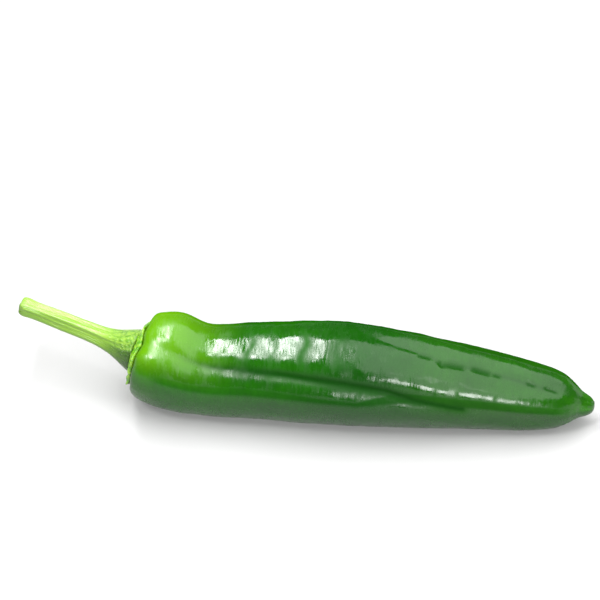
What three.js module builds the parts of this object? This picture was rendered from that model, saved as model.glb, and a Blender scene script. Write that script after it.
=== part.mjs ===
// A whole green chilli pepper lying on its side. Millimetres, +Z up, stem towards -X and tip towards +X.
//
// It has three pieces: the pod, the calyx that caps the pod's shoulder, and the stem. Each is turned
// as a straight lathe about one axis, and is then shaped and bent onto one spine. A station is a
// distance along that axis, from 0 at the crest of the pod's shoulder to the pod's length at its tip;
// the stem's stations are below 0. Because the pieces share the axis, the shaping and the spine, the
// calyx keeps its seat on the pod and the stem its seat on the calyx whatever their sizes are.

import * as THREE from "three";

// Pod: its length, and the radius at each place that sets its outline.
const POD_LENGTH = 104.8;
const SHOULDER_RADIUS = 11;
const WAIST_RADIUS = 10.7;
const BELLY_RADIUS = 12.1;
const CREST_RADIUS = 9; // where the shoulder reaches furthest towards the stem
const SEAT_DEPTH = 1.5; // how far the middle of the calyx's seat lies behind that crest
const TIP_SHOULDER_RADIUS = 6.4; // where the body ends and the pointed tip begins
const TIP_LENGTH = 8.6;
const TIP_RADIUS = 2.7; // of the small nub at the end
const HUMP_HEIGHT = 1.3; // of the full lobe on top of the shoulder
const GROOVE_DEPTH = 0.75; // of the furrows between the lobes
const FURROW_DEPTH = 0.6; // how far a furrow sets the shoulder's crest back
const FLAT_DEPTH = 1.1; // how far the pod's own weight flattens its underside

// Calyx and stem.
const CALYX_REACH = 8; // from its middle to its rim, measured over the shoulder
const CALYX_THICKNESS = 1.2;
const CALYX_RIM_THICKNESS = 0.5;
const TOOTH_LENGTH = 0.8;
const TOOTH_COUNT = 6;
const HUB_HEIGHT = 1.1; // the step that the stem stands on
const STEM_LENGTH = 31.2;
const STEM_BASE_RADIUS = 5.3;
const STEM_RADIUS = 2.1;
const STEM_END_RADIUS = 2.2;
const STEM_RIB_COUNT = 5;
const STEM_RIB_HEIGHT = 0.2;
const CLEARANCE = 0.3; // between neighbouring pieces

// How the pepper lies: the height and the sideways set of its spine at the stem's end and at the
// shoulder, and the height of its tip.
const STEM_END_HEIGHT = 15.3;
const STEM_END_SET = 12;
const SHOULDER_HEIGHT = 11.8;
const SHOULDER_SET = 2;
const TIP_HEIGHT = 4.4;

// How finely each lathe is drawn.
const SEGMENTS = 48;
const POD_STEPS = 70;
const CALYX_STEPS = 9;
const STEM_STEPS = 26;

// The furrows between the lobes. A clock angle is 0 on top and grows towards -Y, in degrees. Each
// furrow turns by some degrees for each millimetre that it runs, and fades in about its start.
const GROOVES = [
  { clock: 29, turn: 0.68, width: 13, depth: 1, start: -20 },
  { clock: -45, turn: 0.8, width: 14, depth: 0.9, start: 50 },
  { clock: -92, turn: 0.7, width: 18, depth: 0.9, start: -20 },
  { clock: 150, turn: 0.7, width: 20, depth: 0.4, start: 16 },
];

const degrees = THREE.MathUtils.degToRad;
const mix = THREE.MathUtils.lerp;
const ramp = THREE.MathUtils.smoothstep;
const bell = (distance, width) => Math.exp(-((distance / width) ** 2));
const wrapped = (angle) => Math.atan2(Math.sin(angle), Math.cos(angle));

// A smooth curve through [radius, station] points.
const lineThrough = (points) =>
  new THREE.CatmullRomCurve3(
    points.map(([radius, station]) => new THREE.Vector3(radius, station, 0)),
    false,
    "centripetal",
  );

// That curve's points at even steps, as a lathe takes them.
const outline = (line, steps) =>
  line.getSpacedPoints(steps).map((p) => new THREE.Vector2(Math.max(p.x, 0), p.y));

// From the middle of the calyx's seat, over the shoulder's crest and along the body to the tip.
const TIP_START = POD_LENGTH - TIP_LENGTH;
const POD_LINE = lineThrough([
  [0, SEAT_DEPTH],
  [0.35 * CREST_RADIUS, SEAT_DEPTH],
  [0.65 * CREST_RADIUS, 0.68 * SEAT_DEPTH],
  [0.88 * CREST_RADIUS, 0.12 * SEAT_DEPTH],
  [CREST_RADIUS, 0],
  [mix(CREST_RADIUS, SHOULDER_RADIUS, 0.45), 0.7],
  [mix(CREST_RADIUS, SHOULDER_RADIUS, 0.8), 2.8],
  [SHOULDER_RADIUS, 7.5],
  [WAIST_RADIUS, 0.17 * TIP_START],
  [BELLY_RADIUS, 0.46 * TIP_START],
  [0.94 * BELLY_RADIUS, 0.63 * TIP_START],
  [0.79 * BELLY_RADIUS, 0.81 * TIP_START],
  [mix(TIP_SHOULDER_RADIUS, BELLY_RADIUS, 0.3), 0.93 * TIP_START],
  [TIP_SHOULDER_RADIUS, TIP_START + 0.05 * TIP_LENGTH],
  [mix(TIP_RADIUS, TIP_SHOULDER_RADIUS, 0.57), TIP_START + 0.36 * TIP_LENGTH],
  [1.12 * TIP_RADIUS, TIP_START + 0.6 * TIP_LENGTH],
  [0.85 * TIP_RADIUS, TIP_START + 0.85 * TIP_LENGTH],
  [0.4 * TIP_RADIUS, TIP_START + 0.98 * TIP_LENGTH],
  [0, POD_LENGTH],
]);

// The direction of the pod's outline at a reach, which is a distance along it from the middle of the
// seat.
const seatTangent = (reach) => POD_LINE.getTangentAt(reach / POD_LINE.getLength());

// A point lifted straight off the pod's outline at a reach.
function seated(reach, lift) {
  const point = POD_LINE.getPointAt(reach / POD_LINE.getLength());
  const along = seatTangent(reach);
  const radius = reach > 0 ? point.x + lift * along.y : 0;
  return new THREE.Vector2(radius, point.y - lift * along.x);
}

function bodyRadius(station) {
  const points = outline(POD_LINE, 400);
  const before = points.findLastIndex((p) => p.y < station);
  const [a, b] = [points[before], points[before + 1]];
  return THREE.MathUtils.mapLinear(station, a.y, b.y, a.x, b.x);
}

// The spine runs from the stem's end, through the shoulder, to the pod's tip. Where the pod rests, the
// spine is as high as the pod's radius, less the flattening.
const STEM_RUN = Math.sqrt(
  STEM_LENGTH ** 2 - (STEM_END_SET - SHOULDER_SET) ** 2 - (STEM_END_HEIGHT - SHOULDER_HEIGHT) ** 2,
);
const resting = (share) => [share * POD_LENGTH, 0, bodyRadius(share * POD_LENGTH) - FLAT_DEPTH];
const SPINE = new THREE.CatmullRomCurve3(
  [
    [-STEM_RUN, STEM_END_SET, STEM_END_HEIGHT],
    [-0.5 * STEM_RUN, mix(SHOULDER_SET, STEM_END_SET, 0.5), mix(SHOULDER_HEIGHT, STEM_END_HEIGHT, 0.5)],
    [0, SHOULDER_SET, SHOULDER_HEIGHT],
    ...[0.13, 0.28, 0.46, 0.64, 0.8].map(resting),
    [0.92 * POD_LENGTH, 0, mix(TIP_HEIGHT, TIP_SHOULDER_RADIUS, 0.75)],
    [POD_LENGTH, 0, TIP_HEIGHT],
  ].map((p) => new THREE.Vector3(...p)),
  false,
  "centripetal",
);

function grooveAt(station, clock) {
  return GROOVES.reduce((sum, g) => {
    const line = degrees(g.clock + g.turn * station);
    const begun = ramp(station, g.start - 16, g.start + 6);
    return sum + g.depth * begun * bell(wrapped(clock - line), degrees(g.width));
  }, 0);
}

// Lobes, furrows and the shoulder's hump, for a point of a straight lathe. Returns its new [radius,
// station].
function lobed(radius, station, clock) {
  const groove = grooveAt(station, clock);
  const reach = Math.min(radius / BELLY_RADIUS, 1);
  const alongBody = ramp(station, -4, 6) * (1 - ramp(station, TIP_START - 6, TIP_START + 2));
  const hump = HUMP_HEIGHT * bell(station - 6.5, 4.6) * bell(wrapped(clock + degrees(20)), degrees(45));
  const shoulder = ramp(radius, 0.3 * CREST_RADIUS, CREST_RADIUS) * (1 - ramp(station, 1, 12));
  return [
    radius + reach * (hump - GROOVE_DEPTH * groove * alongBody),
    station + shoulder * FURROW_DEPTH * (groove - 0.3),
  ];
}

// Keeps z above the table: it's unchanged above the blend height, and 0 below its mirror image.
function rested(z, blend = 0.5) {
  if (z >= blend) return z;
  return z <= -blend ? 0 : (z + blend) ** 2 / (4 * blend);
}

// Bends a straight lathe onto the spine. shape takes a point's radius, station and clock angle, and
// returns its new radius and station.
function onSpine(lathe, shape) {
  const position = lathe.attributes.position;
  const length = STEM_LENGTH + POD_LENGTH;
  const top = new THREE.Vector3(0, 0, 1);
  for (let i = 0; i < position.count; i++) {
    const up = position.getX(i);
    const away = position.getZ(i);
    const clock = Math.atan2(-away, up);
    const [radius, station] = shape(Math.hypot(up, away), position.getY(i), clock);
    const share = (station + STEM_LENGTH) / length;
    const inside = THREE.MathUtils.clamp(share, 0, 1);
    const along = SPINE.getTangentAt(inside);
    const side = new THREE.Vector3().crossVectors(along, top).normalize();
    const upwards = new THREE.Vector3().crossVectors(side, along);
    const point = SPINE.getPointAt(inside)
      .addScaledVector(along, (share - inside) * length)
      .addScaledVector(upwards, radius * Math.cos(clock))
      .addScaledVector(side, radius * Math.sin(clock));
    position.setXYZ(i, point.x, point.y, rested(point.z));
  }
  return lathe;
}

function piece(name, points, shape, colour, roughness) {
  const geometry = onSpine(new THREE.LatheGeometry(points, SEGMENTS), shape);
  geometry.computeVertexNormals();
  const material = new THREE.MeshStandardMaterial({ color: colour, roughness, metalness: 0 });
  const mesh = new THREE.Mesh(geometry, material);
  mesh.name = name;
  return mesh;
}

const pod = () => piece("pod", outline(POD_LINE, POD_STEPS), lobed, 0x2b7d12, 0.25);

const HUB_RADIUS = 1.04 * STEM_BASE_RADIUS;
const HUB_TOP = SEAT_DEPTH - CLEARANCE - CALYX_THICKNESS - HUB_HEIGHT;

// The calyx lies on the pod's seat with the clearance, thins towards its toothed rim, and has a hub
// for the stem.
function calyx() {
  const skirt = (share) =>
    seated(
      mix(HUB_RADIUS, CALYX_REACH, share),
      CLEARANCE + mix(CALYX_THICKNESS, CALYX_RIM_THICKNESS, share),
    );
  const under = Array.from({ length: CALYX_STEPS + 1 }, (_, i) =>
    seated((CALYX_REACH * i) / CALYX_STEPS, CLEARANCE),
  );
  const over = [
    new THREE.Vector2(0, HUB_TOP),
    new THREE.Vector2(0.5 * HUB_RADIUS, HUB_TOP),
    new THREE.Vector2(0.94 * HUB_RADIUS, HUB_TOP),
    new THREE.Vector2(HUB_RADIUS, HUB_TOP + 0.4 * HUB_HEIGHT),
    ...[0.15, 0.4, 0.7, 1].map(skirt),
  ];
  // The teeth lengthen the rim at even steps, straight on from where the seat leaves them.
  const onwards = seatTangent(CALYX_REACH);
  const rim = seated(CALYX_REACH, CLEARANCE).x;
  const toothed = (radius, station, clock) => {
    const tooth = Math.max(0, Math.cos(TOOTH_COUNT * clock)) ** 3;
    const length = TOOTH_LENGTH * tooth * ramp(radius, 0.8 * rim, rim);
    return lobed(radius + length * onwards.x, station + length * onwards.y, clock);
  };
  return piece("calyx", [...over, ...under.reverse()], toothed, 0x74b31c, 0.4);
}

// The stem flares to stand on the calyx's hub, and swells a little at its cut end.
function stem() {
  const base = HUB_TOP - CLEARANCE;
  const flare = lineThrough([
    [0.86 * STEM_END_RADIUS, 0.15 - STEM_LENGTH],
    [STEM_END_RADIUS, 0.9 - STEM_LENGTH],
    [0.9 * STEM_END_RADIUS, -0.88 * STEM_LENGTH],
    [STEM_RADIUS, -0.7 * STEM_LENGTH],
    [1.03 * STEM_RADIUS, -0.48 * STEM_LENGTH],
    [mix(STEM_RADIUS, STEM_BASE_RADIUS, 0.12), base - 8.2],
    [0.6 * STEM_BASE_RADIUS, base - 5.2],
    [0.82 * STEM_BASE_RADIUS, base - 2.5],
    [0.985 * STEM_BASE_RADIUS, base - 0.35],
  ]);
  const points = [
    new THREE.Vector2(0, 0.35 - STEM_LENGTH),
    new THREE.Vector2(0.5 * STEM_END_RADIUS, 0.15 - STEM_LENGTH),
    ...outline(flare, STEM_STEPS),
    new THREE.Vector2(0.95 * STEM_BASE_RADIUS, base),
    new THREE.Vector2(0.5 * STEM_BASE_RADIUS, base),
    new THREE.Vector2(0, base),
  ];
  const ribbed = (radius, station, clock) => {
    const wave = Math.cos(STEM_RIB_COUNT * (clock - degrees(20) + degrees(0.9) * station));
    const strength = Math.min(radius / STEM_RADIUS, 1) * (1 - ramp(station, base - 5, base));
    return [radius + STEM_RIB_HEIGHT * wave * strength, station];
  };
  return piece("stem", points, ribbed, 0x9ccc4a, 0.45);
}

const pepper = new THREE.Group();
pepper.add(pod(), calyx(), stem());

// The origin is under the middle of the pepper, on the surface that it lies on.
const box = new THREE.Box3().setFromObject(pepper);
pepper.position.set(-(box.min.x + box.max.x) / 2, -(box.min.y + box.max.y) / 2, -box.min.z);

export default pepper;
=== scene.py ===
"""A whole green chilli pepper lying on a pale floor: a glossy pod, its calyx and its cut stem.

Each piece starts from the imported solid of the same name. The solid is merged into a grid of quads, given
a grain (where each point lies along the piece and around it), smoothed, and then given its fine relief.
Lengths are in metres. MM turns millimetres into metres.
"""

import math

import bmesh
import bpy
import numpy as np
from mathutils import Matrix, Vector


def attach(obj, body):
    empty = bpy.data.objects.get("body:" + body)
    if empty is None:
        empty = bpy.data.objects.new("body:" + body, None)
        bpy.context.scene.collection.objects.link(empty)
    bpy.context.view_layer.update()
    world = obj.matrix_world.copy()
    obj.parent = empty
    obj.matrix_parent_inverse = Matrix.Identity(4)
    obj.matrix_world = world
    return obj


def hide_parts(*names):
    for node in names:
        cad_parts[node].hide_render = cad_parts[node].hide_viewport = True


MM = 0.001
MERGE_DISTANCE = 2e-6
FLOOR_CLEARANCE = 0.03 * MM
POD_LENGTH = 104.8 * MM
# The radii at which a clock angle is turned into a distance over the surface.
POD_RADIUS = 11.5 * MM
CALYX_RADIUS = 8 * MM
STEM_RADIUS = 2 * MM

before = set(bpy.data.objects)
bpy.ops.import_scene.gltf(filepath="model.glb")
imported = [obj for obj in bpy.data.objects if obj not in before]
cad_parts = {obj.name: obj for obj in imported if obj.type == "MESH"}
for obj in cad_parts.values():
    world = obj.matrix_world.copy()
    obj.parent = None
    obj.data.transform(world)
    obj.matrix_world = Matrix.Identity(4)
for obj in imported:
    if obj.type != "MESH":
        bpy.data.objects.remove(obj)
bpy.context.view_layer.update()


# ---------------------------------------------------------------- the grid behind each piece


def quad_copy(node, name):
    """A CAD node's mesh as a new object, merged into a grid of quads."""
    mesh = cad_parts[node].data.copy()
    mesh.name = name
    mesh.materials.clear()
    grid = bmesh.new()
    grid.from_mesh(mesh)
    bmesh.ops.remove_doubles(grid, verts=grid.verts, dist=MERGE_DISTANCE)
    bmesh.ops.join_triangles(
        grid,
        faces=grid.faces,
        angle_face_threshold=math.pi,
        angle_shape_threshold=math.pi,
    )
    for face in grid.faces:
        face.smooth = True
    grid.to_mesh(mesh)
    grid.free()
    piece = bpy.data.objects.new(name, mesh)
    bpy.context.collection.objects.link(piece)
    return piece


def ring_numbers(mesh, pole):
    """How many edges each point is from the pole. On a lathe's grid, that is the number of its ring."""
    links = [[] for _ in mesh.vertices]
    for edge in mesh.edges:
        a, b = edge.vertices
        links[a].append(b)
        links[b].append(a)
    number = [-1] * len(links)
    number[pole] = 0
    front = [pole]
    while front:
        reached = []
        for point in front:
            for other in links[point]:
                if number[other] < 0:
                    number[other] = number[point] + 1
                    reached.append(other)
        front = reached
    return np.array(number)


def points_of(mesh):
    flat = np.empty(len(mesh.vertices) * 3)
    mesh.vertices.foreach_get("co", flat)
    return flat.reshape(-1, 3)


def set_points(mesh, points):
    mesh.vertices.foreach_set("co", np.asarray(points, dtype=float).ravel())
    mesh.update()


def add_grain(piece, pole, radius):
    """Stores each point's place in the straightened piece: x along it, y and z around it at one radius."""
    mesh = piece.data
    points = points_of(mesh)
    rings = ring_numbers(mesh, pole(points))
    centres = np.array([points[rings == r].mean(axis=0) for r in range(rings.max() + 1)])
    order = np.argsort(centres[:, 0])
    middle = [np.interp(points[:, 0], centres[order, 0], centres[order, axis]) for axis in (1, 2)]
    along = points[:, 0] - centres[:, 0].min()
    clock = np.arctan2(middle[0] - points[:, 1], points[:, 2] - middle[1])
    grain = np.stack([along, radius * np.sin(clock), radius * np.cos(clock)], axis=1)
    grain[(rings == 0) | (rings == rings.max()), 1:] = 0.0
    stored = mesh.attributes.new("grain", "FLOAT_VECTOR", "POINT")
    stored.data.foreach_set("vector", grain.ravel())


def grain_of(mesh):
    """Each point's distance along the piece, and its clock angle: 0 on top and 90 degrees at the front."""
    flat = np.empty(len(mesh.vertices) * 3, dtype=np.float32)
    mesh.attributes["grain"].data.foreach_get("vector", flat)
    grain = flat.reshape(-1, 3).astype(float)
    return grain[:, 0], np.degrees(np.arctan2(grain[:, 1], grain[:, 2]))


def normals_of(mesh):
    flat = np.empty(len(mesh.vertices) * 3, dtype=np.float32)
    mesh.vertex_normals.foreach_get("vector", flat)
    return flat.reshape(-1, 3).astype(float)


# ---------------------------------------------------------------- node building


def link(tree, source, target):
    tree.links.new(source, target)


def math_node(tree, operation, first, second=None):
    node = tree.nodes.new("ShaderNodeMath")
    node.operation = operation
    for socket, value in zip(node.inputs, (first, second)):
        if value is None:
            continue
        if isinstance(value, (int, float)):
            socket.default_value = value
        else:
            link(tree, value, socket)
    return node.outputs[0]


def vector_node(tree, operation, first, second):
    node = tree.nodes.new("ShaderNodeVectorMath")
    node.operation = operation
    for index, value in enumerate((first, second)):
        if operation == "SCALE" and index == 1:
            socket = node.inputs["Scale"]
        else:
            socket = node.inputs[index]
        if isinstance(value, (int, float, tuple)):
            socket.default_value = value
        else:
            link(tree, value, socket)
    return node.outputs[0]


# ---------------------------------------------------------------- relief by geometry nodes


def relief_tree():
    """Smooths a grid, then raises it by slow swells and by ripples that run around the piece."""
    tree = bpy.data.node_groups.new("Skin relief", "GeometryNodeTree")
    put = tree.interface.new_socket
    put(name="Geometry", in_out="INPUT", socket_type="NodeSocketGeometry")
    put(name="Material", in_out="INPUT", socket_type="NodeSocketMaterial")
    put(name="Smoothing", in_out="INPUT", socket_type="NodeSocketInt")
    for name in (
        "Swell height",
        "Swell size",
        "Ripple height",
        "Ripple spacing",
        "Ripple run",
        "Grit height",
        "Grit size",
        "Seed",
    ):
        put(name=name, in_out="INPUT", socket_type="NodeSocketFloat")
    put(name="Geometry", in_out="OUTPUT", socket_type="NodeSocketGeometry")
    new = tree.nodes.new
    given = new("NodeGroupInput").outputs
    smooth = new("GeometryNodeSubdivisionSurface")
    link(tree, given["Geometry"], smooth.inputs["Mesh"])
    link(tree, given["Smoothing"], smooth.inputs["Level"])
    grain = new("GeometryNodeInputNamedAttribute")
    grain.data_type = "FLOAT_VECTOR"
    grain.inputs["Name"].default_value = "grain"
    grain = grain.outputs["Attribute"]

    def waves(height, stretch, seed, detail):
        noise = new("ShaderNodeTexNoise")
        noise.noise_dimensions = "4D"
        noise.inputs["Scale"].default_value = 1.0
        noise.inputs["Detail"].default_value = detail
        link(tree, vector_node(tree, "DIVIDE", grain, stretch), noise.inputs["Vector"])
        link(tree, math_node(tree, "ADD", given["Seed"], seed), noise.inputs["W"])
        centred = math_node(tree, "SUBTRACT", noise.outputs[0], 0.5)
        return math_node(tree, "MULTIPLY", centred, height)

    def sizes(along, around):
        node = new("ShaderNodeCombineXYZ")
        link(tree, along, node.inputs["X"])
        link(tree, around, node.inputs["Y"])
        link(tree, around, node.inputs["Z"])
        return node.outputs[0]

    swell = waves(given["Swell height"], sizes(given["Swell size"], given["Swell size"]), 0.0, 2.0)
    ripple = waves(given["Ripple height"], sizes(given["Ripple spacing"], given["Ripple run"]), 7.3, 1.0)
    grit = waves(given["Grit height"], sizes(given["Grit size"], given["Grit size"]), 13.1, 1.0)
    height = math_node(tree, "ADD", math_node(tree, "ADD", swell, ripple), grit)
    offset = vector_node(tree, "SCALE", new("GeometryNodeInputNormal").outputs["Normal"], height)
    move = new("GeometryNodeSetPosition")
    link(tree, smooth.outputs["Mesh"], move.inputs["Geometry"])
    link(tree, offset, move.inputs["Offset"])
    realize = new("GeometryNodeRealizeInstances")
    link(tree, move.outputs["Geometry"], realize.inputs["Geometry"])
    finish = new("GeometryNodeSetMaterial")
    link(tree, realize.outputs["Geometry"], finish.inputs["Geometry"])
    link(tree, given["Material"], finish.inputs["Material"])
    link(tree, finish.outputs["Geometry"], new("NodeGroupOutput").inputs["Geometry"])
    return tree


def with_relief(piece, tree, material, **sizes):
    """Runs the relief tree on a piece and keeps the result as its plain mesh."""
    modifier = piece.modifiers.new("Relief", "NODES")
    modifier.node_group = tree
    sockets = {s.name: s.identifier for s in tree.interface.items_tree if s.in_out == "INPUT"}
    modifier[sockets["Material"]] = material
    for name, value in sizes.items():
        modifier[sockets[name.replace("_", " ")]] = value
    evaluated = piece.evaluated_get(bpy.context.evaluated_depsgraph_get())
    mesh = bpy.data.meshes.new_from_object(evaluated)
    mesh.name = piece.name
    piece.modifiers.remove(modifier)
    piece.data = mesh
    for polygon in mesh.polygons:
        polygon.use_smooth = True


# ---------------------------------------------------------------- relief along listed lines


def line_distance(along, clock, path, radius):
    """Each point's distance over the surface to a path of (mm along, clock degrees), and its share of it."""
    nearest = np.full(len(along), 1.0)
    share = np.zeros(len(along))
    count = len(path) - 1
    for index in range(count):
        (s0, c0), (s1, c1) = path[index], path[index + 1]
        start = np.array([s0 * MM, 0.0])
        run = np.array([(s1 - s0) * MM, math.radians(c1 - c0) * radius])
        turned = (clock - c0 + 180.0) % 360.0 - 180.0
        here = np.stack([along - start[0], np.radians(turned) * radius], axis=1)
        part = np.clip(here @ run / max(run @ run, 1e-12), 0.0, 1.0)
        away = np.linalg.norm(here - part[:, None] * run, axis=1)
        closer = away < nearest
        nearest[closer] = away[closer]
        share[closer] = (index + part[closer]) / count
    return nearest, share


def ease(value, low, high):
    part = np.clip((value - low) / (high - low), 0.0, 1.0)
    return part * part * (3.0 - 2.0 * part)


def bell(distance, width):
    return np.exp(-((distance / width) ** 2))


def press(piece, path, width, depth, fade=0.25, radius=POD_RADIUS):
    """Presses a line of the given width into the piece, or raises one where depth is negative."""
    mesh = piece.data
    points = points_of(mesh)
    along, clock = grain_of(mesh)
    away, share = line_distance(along, clock, path, radius)
    ends = ease(share, 0.0, fade) * (1.0 - ease(share, 1.0 - fade, 1.0)) if fade else 1.0
    push = depth * bell(away, width) * ends
    set_points(mesh, points - normals_of(mesh) * push[:, None])


def rest_on_floor(piece):
    """Keeps a piece above the surface that it lies on."""
    points = points_of(piece.data)
    points[:, 2] = np.maximum(points[:, 2], FLOOR_CLEARANCE)
    set_points(piece.data, points)


# ---------------------------------------------------------------- shared shader groups


def grain_group():
    """Uneven marks that follow a piece's grain: a mask from stretched noise."""
    tree = bpy.data.node_groups.new("Grain marks", "ShaderNodeTree")
    put = tree.interface.new_socket
    put(name="Grain", in_out="INPUT", socket_type="NodeSocketVector")
    for name, value in (("Length", 4 * MM), ("Width", 1 * MM), ("Seed", 0.0), ("Low", 0.4), ("High", 0.6)):
        put(name=name, in_out="INPUT", socket_type="NodeSocketFloat").default_value = value
    put(name="Mask", in_out="OUTPUT", socket_type="NodeSocketFloat")
    new = tree.nodes.new
    given = new("NodeGroupInput").outputs
    size = new("ShaderNodeCombineXYZ")
    link(tree, given["Length"], size.inputs["X"])
    link(tree, given["Width"], size.inputs["Y"])
    link(tree, given["Width"], size.inputs["Z"])
    noise = new("ShaderNodeTexNoise")
    noise.noise_dimensions = "4D"
    noise.inputs["Scale"].default_value = 1.0
    noise.inputs["Detail"].default_value = 3.0
    link(tree, vector_node(tree, "DIVIDE", given["Grain"], size.outputs[0]), noise.inputs["Vector"])
    link(tree, given["Seed"], noise.inputs["W"])
    spread = new("ShaderNodeMapRange")
    spread.interpolation_type = "SMOOTHSTEP"
    link(tree, noise.outputs[0], spread.inputs["Value"])
    link(tree, given["Low"], spread.inputs["From Min"])
    link(tree, given["High"], spread.inputs["From Max"])
    link(tree, spread.outputs[0], new("NodeGroupOutput").inputs["Mask"])
    return tree


class Paint:
    """A material under construction: a Principled shader and the few nodes that the finishes share."""

    def __init__(self, name, **values):
        self.material = bpy.data.materials.new(name)
        self.material.use_nodes = True
        self.tree = self.material.node_tree
        self.shader = self.tree.nodes["Principled BSDF"]
        for socket, value in values.items():
            self.shader.inputs[socket.replace("_", " ")].default_value = value
        grain = self.tree.nodes.new("ShaderNodeAttribute")
        grain.attribute_name = "grain"
        self.grain = grain.outputs["Vector"]
        parts = self.tree.nodes.new("ShaderNodeSeparateXYZ")
        link(self.tree, self.grain, parts.inputs[0])
        self.along = parts.outputs["X"]

    def attribute(self, name):
        node = self.tree.nodes.new("ShaderNodeAttribute")
        node.attribute_name = name
        return node.outputs["Fac"]

    def marks(self, group, **values):
        node = self.tree.nodes.new("ShaderNodeGroup")
        node.node_tree = group
        link(self.tree, self.grain, node.inputs["Grain"])
        for name, value in values.items():
            node.inputs[name].default_value = value
        return node.outputs["Mask"]

    def ramp(self, value, *stops):
        """A colour or a grey from a value in metres or a mask, through (place, colour) stops."""
        places = [place for place, _ in stops]
        low, high = min(places), max(places)
        node = self.tree.nodes.new("ShaderNodeValToRGB")
        node.color_ramp.interpolation = "EASE"
        scaled = math_node(self.tree, "DIVIDE", math_node(self.tree, "SUBTRACT", value, low), high - low)
        link(self.tree, scaled, node.inputs["Fac"])
        elements = node.color_ramp.elements
        while len(elements) < len(stops):
            elements.new(0.5)
        for element, (place, colour) in zip(elements, sorted(stops)):
            element.position = (place - low) / (high - low)
            element.color = (*colour, 1.0) if isinstance(colour, tuple) else (colour, colour, colour, 1.0)
        return node.outputs["Color"]

    def mix(self, mask, first, second):
        node = self.tree.nodes.new("ShaderNodeMix")
        node.data_type = "RGBA"
        for socket, value in zip((node.inputs[0], node.inputs[6], node.inputs[7]), (mask, first, second)):
            if isinstance(value, tuple):
                socket.default_value = (*value, 1.0)
            elif isinstance(value, (int, float)):
                socket.default_value = value
            else:
                link(self.tree, value, socket)
        return node.outputs[2]

    def bump(self, height, distance):
        node = self.tree.nodes.new("ShaderNodeBump")
        node.inputs["Distance"].default_value = distance
        node.inputs["Strength"].default_value = 1.0
        link(self.tree, height, node.inputs["Height"])
        link(self.tree, node.outputs["Normal"], self.shader.inputs["Normal"])

    def off_edge(self, fall):
        """Half, and less by up to fall where an upward face is seen nearly edge on, as wax dulls the rim."""
        edge = self.tree.nodes.new("ShaderNodeLayerWeight")
        facing = self.ramp(edge.outputs["Facing"], (0.42, 0.0), (0.68, 1.0))
        normal = self.tree.nodes.new("ShaderNodeSeparateXYZ")
        link(self.tree, self.tree.nodes.new("ShaderNodeNewGeometry").outputs["Normal"], normal.inputs[0])
        upward = self.ramp(normal.outputs["Z"], (0.0, 0.0), (0.5, 1.0))
        loss = math_node(self.tree, "MULTIPLY", math_node(self.tree, "MULTIPLY", facing, upward), fall)
        return math_node(self.tree, "SUBTRACT", 0.5, loss)

    def set(self, socket, value):
        link(self.tree, value, self.shader.inputs[socket])


# ---------------------------------------------------------------- finishes

LEAF_GREEN = (0.010, 0.074, 0.002)
DEEP_GREEN = (0.003, 0.038, 0.0015)
SPRING_GREEN = (0.085, 0.245, 0.002)
STEM_GREEN = (0.23, 0.40, 0.045)


def pod_skin(marks):
    paint = Paint("pod_skin", IOR=1.45)
    # Green along the pod: the yellow-green at the shoulder and tip is the skin's own; the dip to darker green
    # about 52 mm along is painted shade, and the lighter green from 74 mm on is painted light.
    body = paint.ramp(
        paint.along,
        (0.0, (0.012, 0.105, 0.001)),
        (30 * MM, (0.008, 0.08, 0.001)),
        (52 * MM, (0.004, 0.055, 0.001)),
        (74 * MM, LEAF_GREEN),
        (95 * MM, LEAF_GREEN),
        (POD_LENGTH, (0.022, 0.13, 0.003)),
    )
    clouds = paint.marks(marks, Length=16 * MM, Width=7 * MM, Seed=2.0, Low=0.4, High=0.7)
    colour = paint.mix(math_node(paint.tree, "MULTIPLY", clouds, 0.5), body, DEEP_GREEN)
    flecks = paint.marks(marks, Length=1.2 * MM, Width=3 * MM, Seed=5.0, Low=0.35, High=0.7)
    colour = paint.mix(math_node(paint.tree, "MULTIPLY", flecks, 0.25), colour, DEEP_GREEN)
    # Pale green over the shoulder: the skin's own, with its upward side lighter as painted light.
    colour = paint.mix(paint.attribute("pale_skin_and_lit_top"), colour, SPRING_GREEN)
    # Painted shade: deep green along the crease floors, in the dents and low on the front.
    colour = paint.mix(paint.attribute("shade"), colour, DEEP_GREEN)
    paint.set("Base Color", colour)
    strokes = paint.marks(marks, Length=0.6 * MM, Width=2.2 * MM, Seed=11.0, Low=0.3, High=0.7)
    bloom = paint.marks(marks, Length=4.5 * MM, Width=5 * MM, Seed=9.0, Low=0.42, High=0.64)
    rough = math_node(
        paint.tree,
        "ADD",
        paint.ramp(strokes, (0.0, 0.09), (1.0, 0.2)),
        math_node(paint.tree, "MULTIPLY", bloom, 0.14),
    )
    hollow = paint.attribute("hollow")
    rough = math_node(paint.tree, "ADD", rough, math_node(paint.tree, "MULTIPLY", hollow, 0.3))
    shoulder = paint.ramp(paint.along, (0.0, 0.05), (30 * MM, 0.0))
    paint.set("Roughness", math_node(paint.tree, "ADD", rough, shoulder))
    open_skin = math_node(paint.tree, "SUBTRACT", 1.0, hollow)
    paint.set("Specular IOR Level", math_node(paint.tree, "MULTIPLY", open_skin, paint.off_edge(0.5)))
    paint.bump(strokes, 0.014 * MM)
    return paint.material


def calyx_leaf(marks):
    paint = Paint("calyx_leaf", Roughness=0.18)
    patches = paint.marks(marks, Length=1 * MM, Width=1 * MM, Seed=3.0)
    paint.set("Base Color", paint.mix(patches, (0.09, 0.30, 0.006), (0.26, 0.50, 0.03)))
    paint.bump(paint.marks(marks, Length=0.8 * MM, Width=0.4 * MM, Seed=4.0), 0.08 * MM)
    return paint.material


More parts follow.
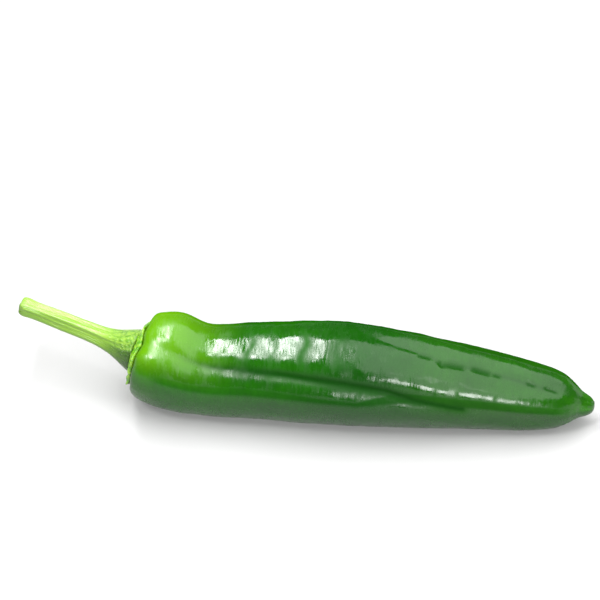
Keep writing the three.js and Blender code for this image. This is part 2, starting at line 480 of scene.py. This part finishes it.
def stem_skin(marks):
    paint = Paint("stem_skin", Roughness=0.3)
    streaks = paint.marks(marks, Length=9 * MM, Width=0.35 * MM, Seed=1.0, Low=0.35, High=0.65)
    colour = paint.mix(streaks, STEM_GREEN, (0.19, 0.36, 0.04))
    specks = paint.marks(marks, Length=0.8 * MM, Width=0.3 * MM, Seed=6.0, Low=0.42, High=0.6)
    flare = paint.ramp(paint.along, (20 * MM, 0.0), (26 * MM, 1.0))
    rough = math_node(paint.tree, "MULTIPLY", specks, flare)
    colour = paint.mix(math_node(paint.tree, "MULTIPLY", rough, 0.75), colour, (0.07, 0.22, 0.008))
    # Painted shade from the stored shade: the groove and underside darker, and the cut end darker.
    colour = paint.mix(paint.attribute("shade"), colour, (0.030, 0.085, 0.008))
    paint.set("Base Color", colour)
    height = math_node(paint.tree, "ADD", streaks, math_node(paint.tree, "MULTIPLY", rough, 1.8))
    paint.bump(height, 0.07 * MM)
    return paint.material


# ---------------------------------------------------------------- the pieces

# Lines on the pod, as (mm along it, clock degrees).
FRONT_CREASE = (
    (3, 31),
    (9.7, 35),
    (16.6, 41.5),
    (26, 47),
    (32, 50),
    (41, 56),
    (48.5, 60),
    (57, 64),
    (63, 73),
    (74, 78),
)
CREASE_LIP = ((22, 55), (31, 60), (42, 67), (50, 71))
TOP_CREASE = (
    (52, -4),
    (54.5, -2),
    (60, 6),
    (66, 11),
    (69, 19),
    (77.7, 19.6),
    (81.9, 22),
    (89.2, 26.6),
    (95, 30),
)
RIDGE = ((60, 56), (66, 57), (72, 58), (80, 57), (88, 56), (97, 55))
# Dents, as (start, end, width in mm, depth in mm).
DENTS = (
    ((64, 14), (66, 15), 0.6, 0.16),
    ((68.5, 18), (69, 23), 0.6, 0.25),
    ((69.5, 21), (73.5, 21), 0.9, 0.3),
    ((76.5, 20), (79.5, 22), 0.9, 0.28),
    ((81, 23), (82, 24), 0.6, 0.16),
    ((89, 27), (90, 28), 0.6, 0.2),
    ((93, 29), (95, 31), 0.6, 0.2),
)
WAX_SPOTS = (((70.5, 12), (72.4, 12.5)), ((73, 25), (73.4, 26)), ((88.5, 17), (89.5, 18)))
LOWER_BULGE = ((54, 86), (64, 83), (75, 81), (88, 79), (99, 77))
NECK_RINGS = (((98.8, 40), (98.4, 90), (98.8, 130)), ((100.3, 40), (99.9, 90), (100.3, 130)))

# Bands round the top of the pod where its wax is dull, as (mm along it, half width in mm, strength).
DULL_BANDS = ((25.3, 0.8, 0.65), (30.6, 0.5, 0.5), (37.6, 1.2, 0.75), (45.5, 1.8, 0.6))
# Places along the ridge where its wax is dull, in mm along the pod.
RIDGE_GAPS = (67.8, 72.8, 81.4, 89.8, 94.0)
RIDGE_GAP_WIDTH = 0.45  # mm
# How far a dull band wanders along the pod, in mm, and how often as it goes round.
BAND_WANDER = 0.7
BAND_TURNS = 9.0
# The dull strip under the front bulge: mm along the pod, and the clock degrees where it starts and ends.
STRIP_STATIONS = (0, 24, 31, 42, 50, 60, 100)
STRIP_STARTS = (66, 66, 69, 76, 79, 63, 61)
STRIP_ENDS = (76, 77, 79, 83, 85, 78, 74)

# The calyx's collar and its lowest tooth.
COLLAR_HEIGHT = 0.95 * MM
COLLAR_RIBS = 13
TOOTH_BEND = 1.0 * MM
TOOTH_CLOCK = 135

# Lines on the stem.
STEM_GROOVE = ((0, 45), (8, 50), (14, 56), (20, 54), (28, 38))
STEM_RIB = ((4, 47), (12, 31), (15, 24), (23, 20))


def pale_skin_and_lit_top_mask(piece):
    """Where the green is paler over the shoulder and its hump: the skin's own paler shoulder, with its upward
    side lighter as painted light.
    """
    along, clock = grain_of(piece.data)
    station = along / MM
    high = ease(np.cos(np.radians(clock + 5)), 0.1, 1.0)
    shoulder = (1.0 - ease(station, 1.0, 26.0)) * high
    rim = 0.4 * (1.0 - ease(station, 0.0, 6.0)) * (0.3 + 0.7 * high)
    store(piece, "pale_skin_and_lit_top", np.clip(shoulder + rim, 0.0, 1.0))


def shade_mask(piece):
    """Painted shade: where the green is darkened along the floors of the creases, in the dents and low on the
    front.
    """
    along, clock = grain_of(piece.data)
    total = np.zeros(len(along))
    for path, width, strength in ((FRONT_CREASE, 0.9 * MM, 0.95), (TOP_CREASE, 0.5 * MM, 0.4)):
        away, share = line_distance(along, clock, path, POD_RADIUS)
        total = np.maximum(total, strength * bell(away, width) * ease(share, 0.0, 0.4))
    for first, last, width, _ in DENTS:
        away, _ = line_distance(along, clock, (first, last), POD_RADIUS)
        total = np.maximum(total, 0.7 * bell(away, width * MM))
    below = 0.45 * ease(clock, 66.0, 92.0) * (1.0 - ease(clock, 150.0, 179.0))
    store(piece, "shade", np.maximum(total, below))


def hollow_mask(piece):
    """Where the skin is dull: under the front bulge, beside the crease, in dents and in the dull bands."""
    along, clock = grain_of(piece.data)
    station = along / MM
    first = np.interp(station, STRIP_STATIONS, STRIP_STARTS)
    last = np.interp(station, STRIP_STATIONS, STRIP_ENDS)
    total = 0.85 * ease(clock, first - 2, first + 2) * (1.0 - ease(clock, last - 3, last + 3))
    total *= ease(station, 1.0, 6.0) * (1.0 - ease(station, 95.0, 100.0))
    away, share = line_distance(along, clock, FRONT_CREASE, POD_RADIUS)
    total = np.maximum(total, 0.9 * bell(away, 1.7 * MM) * ease(share, 0.1, 0.45))
    for first, last, width, _ in DENTS:
        away, _ = line_distance(along, clock, (first, last), POD_RADIUS)
        total = np.maximum(total, 0.8 * bell(away, width * MM))
    top = ease(clock, -35.0, -15.0) * (1.0 - ease(clock, 40.0, 52.0))
    for middle, width, strength in DULL_BANDS:
        wander = middle + BAND_WANDER * np.sin(np.radians(clock * BAND_TURNS) + middle)
        total = np.maximum(total, strength * bell(station - wander, width) * top)
    ridge = ease(clock, 51.0, 55.0) * (1.0 - ease(clock, 62.0, 66.0))
    for middle in RIDGE_GAPS:
        total = np.maximum(total, 0.75 * bell(station - middle, RIDGE_GAP_WIDTH) * ridge)
    store(piece, "hollow", total)


def store(piece, name, values):
    stored = piece.data.attributes.new(name, "FLOAT", "POINT")
    stored.data.foreach_set("value", np.asarray(values, dtype=np.float32))


def pod(tree, marks):
    piece = quad_copy("pod", "pod_body")
    add_grain(piece, lambda p: int(np.argmax(p[:, 0])), POD_RADIUS)
    with_relief(
        piece,
        tree,
        pod_skin(marks),
        Smoothing=2,
        Swell_height=0.6 * MM,
        Swell_size=7 * MM,
        Ripple_height=0.06 * MM,
        Ripple_spacing=1.3 * MM,
        Ripple_run=3.5 * MM,
        Grit_height=0.0,
        Grit_size=3 * MM,
        Seed=4.0,
    )
    press(piece, FRONT_CREASE, 3 * MM, 0.12 * MM)
    press(piece, FRONT_CREASE[3:], 0.85 * MM, 0.45 * MM)
    press(piece, FRONT_CREASE[:5], 1.2 * MM, 0.14 * MM)
    press(piece, CREASE_LIP, 1.8 * MM, -0.11 * MM)
    press(piece, LOWER_BULGE, 3.2 * MM, -0.27 * MM)
    press(piece, TOP_CREASE, 0.6 * MM, 0.1 * MM)
    press(piece, RIDGE, 2.4 * MM, -0.2 * MM)
    for first, last, width, depth in DENTS:
        press(piece, (first, last), width * MM, depth * MM, fade=0)
    for path in WAX_SPOTS:
        press(piece, path, 0.4 * MM, -0.12 * MM, fade=0)
    for path in NECK_RINGS:
        press(piece, path, 0.35 * MM, -0.09 * MM)
    rest_on_floor(piece)
    pale_skin_and_lit_top_mask(piece)
    shade_mask(piece)
    hollow_mask(piece)
    return piece


def hub_point(points):
    """The point in the middle of the calyx's outer face."""
    middle = points.mean(axis=0) - (1.5 * MM, 0, 0)
    return int(np.argmin(np.linalg.norm(points - middle, axis=1)))


def calyx(tree, marks):
    piece = quad_copy("calyx", "calyx_cap")
    add_grain(piece, hub_point, CALYX_RADIUS)
    with_relief(
        piece,
        tree,
        calyx_leaf(marks),
        Smoothing=2,
        Swell_height=0.3 * MM,
        Swell_size=3 * MM,
        Ripple_height=0.0,
        Ripple_spacing=1 * MM,
        Ripple_run=1 * MM,
        Grit_height=0.2 * MM,
        Grit_size=0.7 * MM,
        Seed=8.0,
    )
    raise_collar(piece)
    return piece


def raise_collar(piece):
    """Swells the calyx into a ribbed collar round the stem's foot, and bends its lowest tooth off the pod."""
    points = points_of(piece.data)
    normals = normals_of(piece.data)
    out = points - np.array([0.0, *((points.max(axis=0) + points.min(axis=0)) / 2)[1:]])
    reach = np.hypot(out[:, 1], out[:, 2]) / MM
    clock = np.degrees(np.arctan2(-out[:, 1], out[:, 2]))
    face = np.clip(-normals[:, 0], 0.0, 1.0)
    ribs = 0.75 + 0.25 * np.cos(np.radians(clock * COLLAR_RIBS)) * ease(reach, 4.0, 6.0)
    collar = ease(reach, 3.0, 5.2) * (1.0 - ease(reach, 6.2, 7.6)) * face * ribs
    tooth = ease(reach, 6.5, 9.0) * ease(np.cos(np.radians(clock - TOOTH_CLOCK)), 0.9, 0.97)
    points -= np.outer(COLLAR_HEIGHT * collar + TOOTH_BEND * tooth, (1.0, 0.0, 0.0))
    set_points(piece.data, points)


def stem(tree, marks):
    piece = quad_copy("stem", "stem_stalk")
    add_grain(piece, lambda p: int(np.argmin(p[:, 0])), STEM_RADIUS)
    with_relief(
        piece,
        tree,
        stem_skin(marks),
        Smoothing=2,
        Swell_height=0.15 * MM,
        Swell_size=3 * MM,
        Ripple_height=0.12 * MM,
        Ripple_spacing=12 * MM,
        Ripple_run=0.5 * MM,
        Grit_height=0.0,
        Grit_size=1 * MM,
        Seed=5.0,
    )
    press(piece, STEM_GROOVE, 0.4 * MM, 0.16 * MM, fade=0, radius=STEM_RADIUS)
    press(piece, STEM_RIB, 0.3 * MM, -0.12 * MM, radius=STEM_RADIUS)
    # Painted shade: darker in the groove and round the underside, most under the flare. The first millimetre
    # at the cut end is darker too.
    along, clock = grain_of(piece.data)
    away, _ = line_distance(along, clock, STEM_GROOVE, STEM_RADIUS)
    groove = 0.35 * bell(away, 0.3 * MM)
    turn = np.interp(along / MM, (0.0, 17.0, 27.0), (56.0, 56.0, 44.0))
    below = ease(np.abs(clock), turn, turn + 16.0)
    shade = np.maximum(groove, below * (0.3 + 0.65 * ease(along / MM, 18.0, 27.0)))
    cut = 0.45 * (1.0 - ease(along / MM, 0.3, 1.1))
    store(piece, "shade", np.maximum(shade, cut))
    return piece


relief = relief_tree()
grain_marks = grain_group()
for make, node, finish in (
    (pod, "pod", "pod_skin"),
    (calyx, "calyx", "calyx_leaf"),
    (stem, "stem", "stem_skin"),
):
    made = make(relief, grain_marks)
    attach(made, "root")
    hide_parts(node)


# ---------------------------------------------------------------- floor, light and camera


def floor():
    mesh = bpy.data.meshes.new("floor")
    half = 2.0
    corners = [(-half, -half, 0), (half, -half, 0), (half, half, 0), (-half, half, 0)]
    mesh.from_pydata(corners, [], [(0, 1, 2, 3)])
    paint = bpy.data.materials.new("floor_white")
    paint.use_nodes = True
    shader = paint.node_tree.nodes["Principled BSDF"]
    shader.inputs["Base Color"].default_value = (0.34, 0.34, 0.34, 1)
    shader.inputs["Roughness"].default_value = 0.6
    shader.inputs["Emission Color"].default_value = (1, 1, 1, 1)
    shader.inputs["Emission Strength"].default_value = 0.15
    mesh.materials.append(paint)
    piece = bpy.data.objects.new("floor", mesh)
    bpy.context.collection.objects.link(piece)


def panel(name, place, target, size, power, length=(0, 0, 1)):
    """A soft rectangular light that faces a target. size is width and length, and length says which way."""
    light = bpy.data.lights.new(name, "AREA")
    light.shape = "RECTANGLE"
    light.size, light.size_y = size
    light.energy = power
    back = (Vector(place) - Vector(target)).normalized()
    way = Vector(length)
    way = (way - way.dot(back) * back).normalized()
    lamp = bpy.data.objects.new(name, light)
    turn = Matrix((way.cross(back), way, back)).transposed()
    lamp.matrix_world = Matrix.Translation(place) @ turn.to_4x4()
    bpy.context.collection.objects.link(lamp)


def camera(subject, azimuth, elevation, distance, lens, right, up):
    """Looks at a subject from an angle, and turns so that the frame's centre is right of it and above it."""
    turn, lift = math.radians(azimuth), math.radians(elevation)
    back = Vector((math.sin(turn) * math.cos(lift), -math.cos(turn) * math.cos(lift), math.sin(lift)))
    across = Vector((math.cos(turn), math.sin(turn), 0))
    subject = Vector(subject)
    place = subject + distance * back
    aim = subject + right * across + up * back.cross(across)
    data = bpy.data.cameras.new("camera")
    data.lens = lens
    data.clip_start = 0.01
    view = bpy.data.objects.new("camera", data)
    view.location = place
    view.rotation_euler = (aim - place).to_track_quat("-Z", "Y").to_euler()
    bpy.context.collection.objects.link(view)
    bpy.context.scene.camera = view


floor()
panel("key_overhead", (-0.18, 0.14, 0.77), (0, 0, 0), (0.12, 0.8), 10.5, length=(0, 1, 0))
panel("lamp_front_left", (-0.3, -0.3, 0.68), (0, 0, 0), (0.16, 0.18), 3.0)
panel("sky_right", (0.42, 0.05, 0.6), (0.42, 0.05, 0), (0.84, 1.2), 8.0, length=(0, 1, 0))
panel("window_front_right", (0.3, -0.65, 0.42), (0, 0, 0), (0.4, 0.5), 1.5)
panel("strip_front_right", (0.27, -0.75, 0.24), (0, 0, 0.01), (0.3, 0.2), 3.4)
camera(
    subject=(0, 0, POD_RADIUS),
    azimuth=4.5,
    elevation=45,
    distance=0.8,
    lens=208.7,
    right=-0.8 * MM,
    up=15.2 * MM,
)

world = bpy.data.worlds.new("room")
world.use_nodes = True
world.node_tree.nodes["Background"].inputs["Color"].default_value = (1, 1, 1, 1)
world.node_tree.nodes["Background"].inputs["Strength"].default_value = 0.06
bpy.context.scene.world = world
bpy.context.scene.view_settings.view_transform = "Standard"
